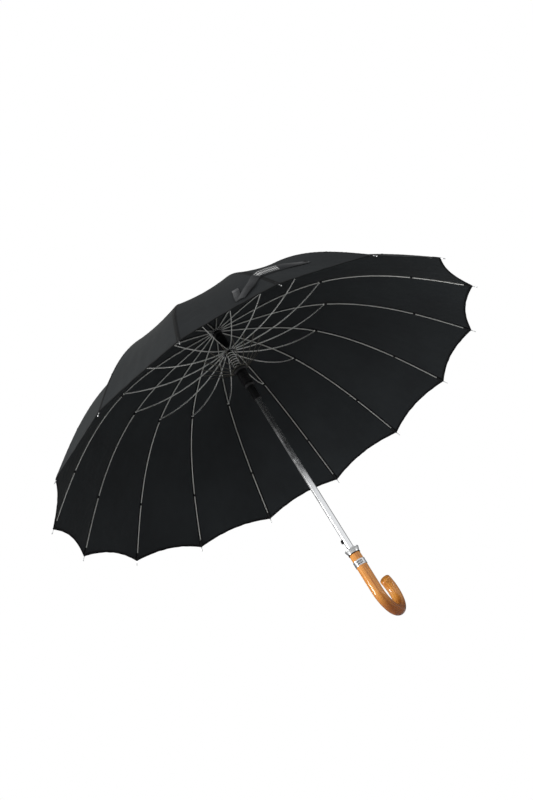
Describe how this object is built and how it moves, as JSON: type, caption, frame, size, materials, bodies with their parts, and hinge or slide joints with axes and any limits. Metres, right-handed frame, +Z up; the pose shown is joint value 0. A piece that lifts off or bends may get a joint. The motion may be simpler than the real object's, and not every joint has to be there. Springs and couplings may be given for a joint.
{
  "type": "stick umbrella",
  "caption": "Stick umbrella with a round pleated canopy on spring-steel ribs, a spring that opens it, a slim metal shaft and a wooden crook handle.",
  "frame": {"origin": "on the shaft's axis where the hand grips the handle, 60 mm below the top of the wood", "axes": "+Z up the shaft to the ferrule, +X towards the hook of the crook; the ribs are 22.5 degrees apart and +X lies midway between two of them"},
  "size_m": [1.036, 1.036, 0.8324],
  "materials": {
    "shaft_steel": "polished chromed tube",
    "fitting_chrome": "bright chrome",
    "rib_steel": "bright drawn steel",
    "spring_steel": "bright nickel-plated wire",
    "black_plastic": "moulded black, low gloss",
    "wood": "orange-brown, clear varnish",
    "cloth": "black woven polyester"
  },
  "bodies": {
    "root": {"shaft_tube": "shaft_steel", "crown": "black_plastic", "ferrule": "black_plastic", "crook_handle": "wood", "tip_cup": "fitting_chrome", "handle_band": "fitting_chrome", "canopy": "cloth"},
    "upper_runner": {"upper_runner": "black_plastic", "opening_spring": "spring_steel"},
    "lower_runner": {"lower_runner": "black_plastic", "opening_arms": "rib_steel"},
    "release_button": {"release_button": "black_plastic"},
    "rib_inner_01": {"rib_inner_01": "rib_steel"},
    "rib_outer_01": {"rib_outer_01": "rib_steel"},
    "stretcher_01": {"stretcher_01": "rib_steel"},
    "rib_inner_02": {"rib_inner_02": "rib_steel"},
    "rib_outer_02": {"rib_outer_02": "rib_steel"},
    "stretcher_02": {"stretcher_02": "rib_steel"},
    "rib_inner_03": {"rib_inner_03": "rib_steel"},
    "rib_outer_03": {"rib_outer_03": "rib_steel"},
    "stretcher_03": {"stretcher_03": "rib_steel"},
    "rib_inner_04": {"rib_inner_04": "rib_steel"},
    "rib_outer_04": {"rib_outer_04": "rib_steel"},
    "stretcher_04": {"stretcher_04": "rib_steel"},
    "rib_inner_05": {"rib_inner_05": "rib_steel"},
    "rib_outer_05": {"rib_outer_05": "rib_steel"},
    "stretcher_05": {"stretcher_05": "rib_steel"},
    "rib_inner_06": {"rib_inner_06": "rib_steel"},
    "rib_outer_06": {"rib_outer_06": "rib_steel"},
    "stretcher_06": {"stretcher_06": "rib_steel"},
    "rib_inner_07": {"rib_inner_07": "rib_steel"},
    "rib_outer_07": {"rib_outer_07": "rib_steel"},
    "stretcher_07": {"stretcher_07": "rib_steel"},
    "rib_inner_08": {"rib_inner_08": "rib_steel"},
    "rib_outer_08": {"rib_outer_08": "rib_steel"},
    "stretcher_08": {"stretcher_08": "rib_steel"},
    "rib_inner_09": {"rib_inner_09": "rib_steel"},
    "rib_outer_09": {"rib_outer_09": "rib_steel"},
    "stretcher_09": {"stretcher_09": "rib_steel"},
    "rib_inner_10": {"rib_inner_10": "rib_steel"},
    "rib_outer_10": {"rib_outer_10": "rib_steel"},
    "stretcher_10": {"stretcher_10": "rib_steel"},
    "rib_inner_11": {"rib_inner_11": "rib_steel"},
    "rib_outer_11": {"rib_outer_11": "rib_steel"},
    "stretcher_11": {"stretcher_11": "rib_steel"},
    "rib_inner_12": {"rib_inner_12": "rib_steel"},
    "rib_outer_12": {"rib_outer_12": "rib_steel"},
    "stretcher_12": {"stretcher_12": "rib_steel"},
    "rib_inner_13": {"rib_inner_13": "rib_steel"},
    "rib_outer_13": {"rib_outer_13": "rib_steel"},
    "stretcher_13": {"stretcher_13": "rib_steel"},
    "rib_inner_14": {"rib_inner_14": "rib_steel"},
    "rib_outer_14": {"rib_outer_14": "rib_steel"},
    "stretcher_14": {"stretcher_14": "rib_steel"},
    "rib_inner_15": {"rib_inner_15": "rib_steel"},
    "rib_outer_15": {"rib_outer_15": "rib_steel"},
    "stretcher_15": {"stretcher_15": "rib_steel"},
    "rib_inner_16": {"rib_inner_16": "rib_steel"},
    "rib_outer_16": {"rib_outer_16": "rib_steel"},
    "stretcher_16": {"stretcher_16": "rib_steel"}
  },
  "joints": [
    {"name": "open_close", "type": "slide", "parent": "root", "child": "upper_runner", "axis": [0, 0, -1], "range_m": [0, 0.42872], "stiffness_N_per_m": 20, "springref_m": -0.75, "deforming": ["canopy", "opening_spring", "opening_arms"]},
    {"name": "lower_runner_slide", "type": "slide", "parent": "root", "child": "lower_runner", "axis": [0, 0, -1], "range_m": [0, 0.38382]},
    {"name": "button_press", "type": "slide", "parent": "root", "child": "release_button", "axis": [0.3827, -0.9239, 0], "range_m": [0, 0.003], "stiffness_N_per_m": 400},
    {"name": "rib_fold_01", "type": "hinge", "parent": "root", "child": "rib_inner_01", "pos_m": [0.01275, 0.00254, 0.677], "axis": [-0.1951, 0.9808, 0], "range_deg": [0, 78.52]},
    {"name": "rib_straighten_01", "type": "hinge", "parent": "rib_inner_01", "child": "rib_outer_01", "pos_m": [0.25178, 0.05008, 0.62742], "axis": [0.1951, -0.9808, 0], "range_deg": [0, 28.84]},
    {"name": "stretcher_fold_01", "type": "hinge", "parent": "upper_runner", "child": "stretcher_01", "pos_m": [0.01471, 0.00293, 0.615], "axis": [0.1951, -0.9808, 0], "range_deg": [0, 87.55]},
    {"name": "rib_fold_02", "type": "hinge", "parent": "root", "child": "rib_inner_02", "pos_m": [0.01081, 0.00722, 0.677], "axis": [-0.5556, 0.8315, 0], "range_deg": [0, 78.52]},
    {"name": "rib_straighten_02", "type": "hinge", "parent": "rib_inner_02", "child": "rib_outer_02", "pos_m": [0.21344, 0.14262, 0.62742], "axis": [0.5556, -0.8315, 0], "range_deg": [0, 28.84]},
    {"name": "stretcher_fold_02", "type": "hinge", "parent": "upper_runner", "child": "stretcher_02", "pos_m": [0.01247, 0.00833, 0.615], "axis": [0.5556, -0.8315, 0], "range_deg": [0, 87.55]},
    {"name": "rib_fold_03", "type": "hinge", "parent": "root", "child": "rib_inner_03", "pos_m": [0.00722, 0.01081, 0.677], "axis": [-0.8315, 0.5556, 0], "range_deg": [0, 78.52]},
    {"name": "rib_straighten_03", "type": "hinge", "parent": "rib_inner_03", "child": "rib_outer_03", "pos_m": [0.14262, 0.21344, 0.62742], "axis": [0.8315, -0.5556, 0], "range_deg": [0, 28.84]},
    {"name": "stretcher_fold_03", "type": "hinge", "parent": "upper_runner", "child": "stretcher_03", "pos_m": [0.00833, 0.01247, 0.615], "axis": [0.8315, -0.5556, 0], "range_deg": [0, 87.55]},
    {"name": "rib_fold_04", "type": "hinge", "parent": "root", "child": "rib_inner_04", "pos_m": [0.00254, 0.01275, 0.677], "axis": [-0.9808, 0.1951, 0], "range_deg": [0, 78.52]},
    {"name": "rib_straighten_04", "type": "hinge", "parent": "rib_inner_04", "child": "rib_outer_04", "pos_m": [0.05008, 0.25178, 0.62742], "axis": [0.9808, -0.1951, 0], "range_deg": [0, 28.84]},
    {"name": "stretcher_fold_04", "type": "hinge", "parent": "upper_runner", "child": "stretcher_04", "pos_m": [0.00293, 0.01471, 0.615], "axis": [0.9808, -0.1951, 0], "range_deg": [0, 87.55]},
    {"name": "rib_fold_05", "type": "hinge", "parent": "root", "child": "rib_inner_05", "pos_m": [-0.00254, 0.01275, 0.677], "axis": [-0.9808, -0.1951, 0], "range_deg": [0, 78.52]},
    {"name": "rib_straighten_05", "type": "hinge", "parent": "rib_inner_05", "child": "rib_outer_05", "pos_m": [-0.05008, 0.25178, 0.62742], "axis": [0.9808, 0.1951, 0], "range_deg": [0, 28.84]},
    {"name": "stretcher_fold_05", "type": "hinge", "parent": "upper_runner", "child": "stretcher_05", "pos_m": [-0.00293, 0.01471, 0.615], "axis": [0.9808, 0.1951, 0], "range_deg": [0, 87.55]},
    {"name": "rib_fold_06", "type": "hinge", "parent": "root", "child": "rib_inner_06", "pos_m": [-0.00722, 0.01081, 0.677], "axis": [-0.8315, -0.5556, 0], "range_deg": [0, 78.52]},
    {"name": "rib_straighten_06", "type": "hinge", "parent": "rib_inner_06", "child": "rib_outer_06", "pos_m": [-0.14262, 0.21344, 0.62742], "axis": [0.8315, 0.5556, 0], "range_deg": [0, 28.84]},
    {"name": "stretcher_fold_06", "type": "hinge", "parent": "upper_runner", "child": "stretcher_06", "pos_m": [-0.00833, 0.01247, 0.615], "axis": [0.8315, 0.5556, 0], "range_deg": [0, 87.55]},
    {"name": "rib_fold_07", "type": "hinge", "parent": "root", "child": "rib_inner_07", "pos_m": [-0.01081, 0.00722, 0.677], "axis": [-0.5556, -0.8315, 0], "range_deg": [0, 78.52]},
    {"name": "rib_straighten_07", "type": "hinge", "parent": "rib_inner_07", "child": "rib_outer_07", "pos_m": [-0.21344, 0.14262, 0.62742], "axis": [0.5556, 0.8315, 0], "range_deg": [0, 28.84]},
    {"name": "stretcher_fold_07", "type": "hinge", "parent": "upper_runner", "child": "stretcher_07", "pos_m": [-0.01247, 0.00833, 0.615], "axis": [0.5556, 0.8315, 0], "range_deg": [0, 87.55]},
    {"name": "rib_fold_08", "type": "hinge", "parent": "root", "child": "rib_inner_08", "pos_m": [-0.01275, 0.00254, 0.677], "axis": [-0.1951, -0.9808, 0], "range_deg": [0, 78.52]},
    {"name": "rib_straighten_08", "type": "hinge", "parent": "rib_inner_08", "child": "rib_outer_08", "pos_m": [-0.25178, 0.05008, 0.62742], "axis": [0.1951, 0.9808, 0], "range_deg": [0, 28.84]},
    {"name": "stretcher_fold_08", "type": "hinge", "parent": "upper_runner", "child": "stretcher_08", "pos_m": [-0.01471, 0.00293, 0.615], "axis": [0.1951, 0.9808, 0], "range_deg": [0, 87.55]},
    {"name": "rib_fold_09", "type": "hinge", "parent": "root", "child": "rib_inner_09", "pos_m": [-0.01275, -0.00254, 0.677], "axis": [0.1951, -0.9808, 0], "range_deg": [0, 78.52]},
    {"name": "rib_straighten_09", "type": "hinge", "parent": "rib_inner_09", "child": "rib_outer_09", "pos_m": [-0.25178, -0.05008, 0.62742], "axis": [-0.1951, 0.9808, 0], "range_deg": [0, 28.84]},
    {"name": "stretcher_fold_09", "type": "hinge", "parent": "upper_runner", "child": "stretcher_09", "pos_m": [-0.01471, -0.00293, 0.615], "axis": [-0.1951, 0.9808, 0], "range_deg": [0, 87.55]},
    {"name": "rib_fold_10", "type": "hinge", "parent": "root", "child": "rib_inner_10", "pos_m": [-0.01081, -0.00722, 0.677], "axis": [0.5556, -0.8315, 0], "range_deg": [0, 78.52]},
    {"name": "rib_straighten_10", "type": "hinge", "parent": "rib_inner_10", "child": "rib_outer_10", "pos_m": [-0.21344, -0.14262, 0.62742], "axis": [-0.5556, 0.8315, 0], "range_deg": [0, 28.84]},
    {"name": "stretcher_fold_10", "type": "hinge", "parent": "upper_runner", "child": "stretcher_10", "pos_m": [-0.01247, -0.00833, 0.615], "axis": [-0.5556, 0.8315, 0], "range_deg": [0, 87.55]},
    {"name": "rib_fold_11", "type": "hinge", "parent": "root", "child": "rib_inner_11", "pos_m": [-0.00722, -0.01081, 0.677], "axis": [0.8315, -0.5556, 0], "range_deg": [0, 78.52]},
    {"name": "rib_straighten_11", "type": "hinge", "parent": "rib_inner_11", "child": "rib_outer_11", "pos_m": [-0.14262, -0.21344, 0.62742], "axis": [-0.8315, 0.5556, 0], "range_deg": [0, 28.84]},
    {"name": "stretcher_fold_11", "type": "hinge", "parent": "upper_runner", "child": "stretcher_11", "pos_m": [-0.00833, -0.01247, 0.615], "axis": [-0.8315, 0.5556, 0], "range_deg": [0, 87.55]},
    {"name": "rib_fold_12", "type": "hinge", "parent": "root", "child": "rib_inner_12", "pos_m": [-0.00254, -0.01275, 0.677], "axis": [0.9808, -0.1951, 0], "range_deg": [0, 78.52]},
    {"name": "rib_straighten_12", "type": "hinge", "parent": "rib_inner_12", "child": "rib_outer_12", "pos_m": [-0.05008, -0.25178, 0.62742], "axis": [-0.9808, 0.1951, 0], "range_deg": [0, 28.84]},
    {"name": "stretcher_fold_12", "type": "hinge", "parent": "upper_runner", "child": "stretcher_12", "pos_m": [-0.00293, -0.01471, 0.615], "axis": [-0.9808, 0.1951, 0], "range_deg": [0, 87.55]},
    {"name": "rib_fold_13", "type": "hinge", "parent": "root", "child": "rib_inner_13", "pos_m": [0.00254, -0.01275, 0.677], "axis": [0.9808, 0.1951, 0], "range_deg": [0, 78.52]},
    {"name": "rib_straighten_13", "type": "hinge", "parent": "rib_inner_13", "child": "rib_outer_13", "pos_m": [0.05008, -0.25178, 0.62742], "axis": [-0.9808, -0.1951, 0], "range_deg": [0, 28.84]},
    {"name": "stretcher_fold_13", "type": "hinge", "parent": "upper_runner", "child": "stretcher_13", "pos_m": [0.00293, -0.01471, 0.615], "axis": [-0.9808, -0.1951, 0], "range_deg": [0, 87.55]},
    {"name": "rib_fold_14", "type": "hinge", "parent": "root", "child": "rib_inner_14", "pos_m": [0.00722, -0.01081, 0.677], "axis": [0.8315, 0.5556, 0], "range_deg": [0, 78.52]},
    {"name": "rib_straighten_14", "type": "hinge", "parent": "rib_inner_14", "child": "rib_outer_14", "pos_m": [0.14262, -0.21344, 0.62742], "axis": [-0.8315, -0.5556, 0], "range_deg": [0, 28.84]},
    {"name": "stretcher_fold_14", "type": "hinge", "parent": "upper_runner", "child": "stretcher_14", "pos_m": [0.00833, -0.01247, 0.615], "axis": [-0.8315, -0.5556, 0], "range_deg": [0, 87.55]},
    {"name": "rib_fold_15", "type": "hinge", "parent": "root", "child": "rib_inner_15", "pos_m": [0.01081, -0.00722, 0.677], "axis": [0.5556, 0.8315, 0], "range_deg": [0, 78.52]},
    {"name": "rib_straighten_15", "type": "hinge", "parent": "rib_inner_15", "child": "rib_outer_15", "pos_m": [0.21344, -0.14262, 0.62742], "axis": [-0.5556, -0.8315, 0], "range_deg": [0, 28.84]},
    {"name": "stretcher_fold_15", "type": "hinge", "parent": "upper_runner", "child": "stretcher_15", "pos_m": [0.01247, -0.00833, 0.615], "axis": [-0.5556, -0.8315, 0], "range_deg": [0, 87.55]},
    {"name": "rib_fold_16", "type": "hinge", "parent": "root", "child": "rib_inner_16", "pos_m": [0.01275, -0.00254, 0.677], "axis": [0.1951, 0.9808, 0], "range_deg": [0, 78.52]},
    {"name": "rib_straighten_16", "type": "hinge", "parent": "rib_inner_16", "child": "rib_outer_16", "pos_m": [0.25178, -0.05008, 0.62742], "axis": [-0.1951, -0.9808, 0], "range_deg": [0, 28.84]},
    {"name": "stretcher_fold_16", "type": "hinge", "parent": "upper_runner", "child": "stretcher_16", "pos_m": [0.01471, -0.00293, 0.615], "axis": [-0.1951, -0.9808, 0], "range_deg": [0, 87.55]}
  ],
  "couplings": [
    {"joint": "lower_runner_slide", "follows": "open_close", "ratio": 0.89503},
    {"joint": "rib_fold_01", "follows": "open_close", "rad_per_m": 3.1958},
    {"joint": "rib_straighten_01", "follows": "open_close", "rad_per_m": 1.1731},
    {"joint": "stretcher_fold_01", "follows": "open_close", "rad_per_m": 3.5635},
    {"joint": "rib_fold_02", "follows": "open_close", "rad_per_m": 3.1958},
    {"joint": "rib_straighten_02", "follows": "open_close", "rad_per_m": 1.1731},
    {"joint": "stretcher_fold_02", "follows": "open_close", "rad_per_m": 3.5635},
    {"joint": "rib_fold_03", "follows": "open_close", "rad_per_m": 3.1958},
    {"joint": "rib_straighten_03", "follows": "open_close", "rad_per_m": 1.1731},
    {"joint": "stretcher_fold_03", "follows": "open_close", "rad_per_m": 3.5635},
    {"joint": "rib_fold_04", "follows": "open_close", "rad_per_m": 3.1958},
    {"joint": "rib_straighten_04", "follows": "open_close", "rad_per_m": 1.1731},
    {"joint": "stretcher_fold_04", "follows": "open_close", "rad_per_m": 3.5635},
    {"joint": "rib_fold_05", "follows": "open_close", "rad_per_m": 3.1958},
    {"joint": "rib_straighten_05", "follows": "open_close", "rad_per_m": 1.1731},
    {"joint": "stretcher_fold_05", "follows": "open_close", "rad_per_m": 3.5635},
    {"joint": "rib_fold_06", "follows": "open_close", "rad_per_m": 3.1958},
    {"joint": "rib_straighten_06", "follows": "open_close", "rad_per_m": 1.1731},
    {"joint": "stretcher_fold_06", "follows": "open_close", "rad_per_m": 3.5635},
    {"joint": "rib_fold_07", "follows": "open_close", "rad_per_m": 3.1958},
    {"joint": "rib_straighten_07", "follows": "open_close", "rad_per_m": 1.1731},
    {"joint": "stretcher_fold_07", "follows": "open_close", "rad_per_m": 3.5635},
    {"joint": "rib_fold_08", "follows": "open_close", "rad_per_m": 3.1958},
    {"joint": "rib_straighten_08", "follows": "open_close", "rad_per_m": 1.1731},
    {"joint": "stretcher_fold_08", "follows": "open_close", "rad_per_m": 3.5635},
    {"joint": "rib_fold_09", "follows": "open_close", "rad_per_m": 3.1958},
    {"joint": "rib_straighten_09", "follows": "open_close", "rad_per_m": 1.1731},
    {"joint": "stretcher_fold_09", "follows": "open_close", "rad_per_m": 3.5635},
    {"joint": "rib_fold_10", "follows": "open_close", "rad_per_m": 3.1958},
    {"joint": "rib_straighten_10", "follows": "open_close", "rad_per_m": 1.1731},
    {"joint": "stretcher_fold_10", "follows": "open_close", "rad_per_m": 3.5635},
    {"joint": "rib_fold_11", "follows": "open_close", "rad_per_m": 3.1958},
    {"joint": "rib_straighten_11", "follows": "open_close", "rad_per_m": 1.1731},
    {"joint": "stretcher_fold_11", "follows": "open_close", "rad_per_m": 3.5635},
    {"joint": "rib_fold_12", "follows": "open_close", "rad_per_m": 3.1958},
    {"joint": "rib_straighten_12", "follows": "open_close", "rad_per_m": 1.1731},
    {"joint": "stretcher_fold_12", "follows": "open_close", "rad_per_m": 3.5635},
    {"joint": "rib_fold_13", "follows": "open_close", "rad_per_m": 3.1958},
    {"joint": "rib_straighten_13", "follows": "open_close", "rad_per_m": 1.1731},
    {"joint": "stretcher_fold_13", "follows": "open_close", "rad_per_m": 3.5635},
    {"joint": "rib_fold_14", "follows": "open_close", "rad_per_m": 3.1958},
    {"joint": "rib_straighten_14", "follows": "open_close", "rad_per_m": 1.1731},
    {"joint": "stretcher_fold_14", "follows": "open_close", "rad_per_m": 3.5635},
    {"joint": "rib_fold_15", "follows": "open_close", "rad_per_m": 3.1958},
    {"joint": "rib_straighten_15", "follows": "open_close", "rad_per_m": 1.1731},
    {"joint": "stretcher_fold_15", "follows": "open_close", "rad_per_m": 3.5635},
    {"joint": "rib_fold_16", "follows": "open_close", "rad_per_m": 3.1958},
    {"joint": "rib_straighten_16", "follows": "open_close", "rad_per_m": 1.1731},
    {"joint": "stretcher_fold_16", "follows": "open_close", "rad_per_m": 3.5635}
  ]
}
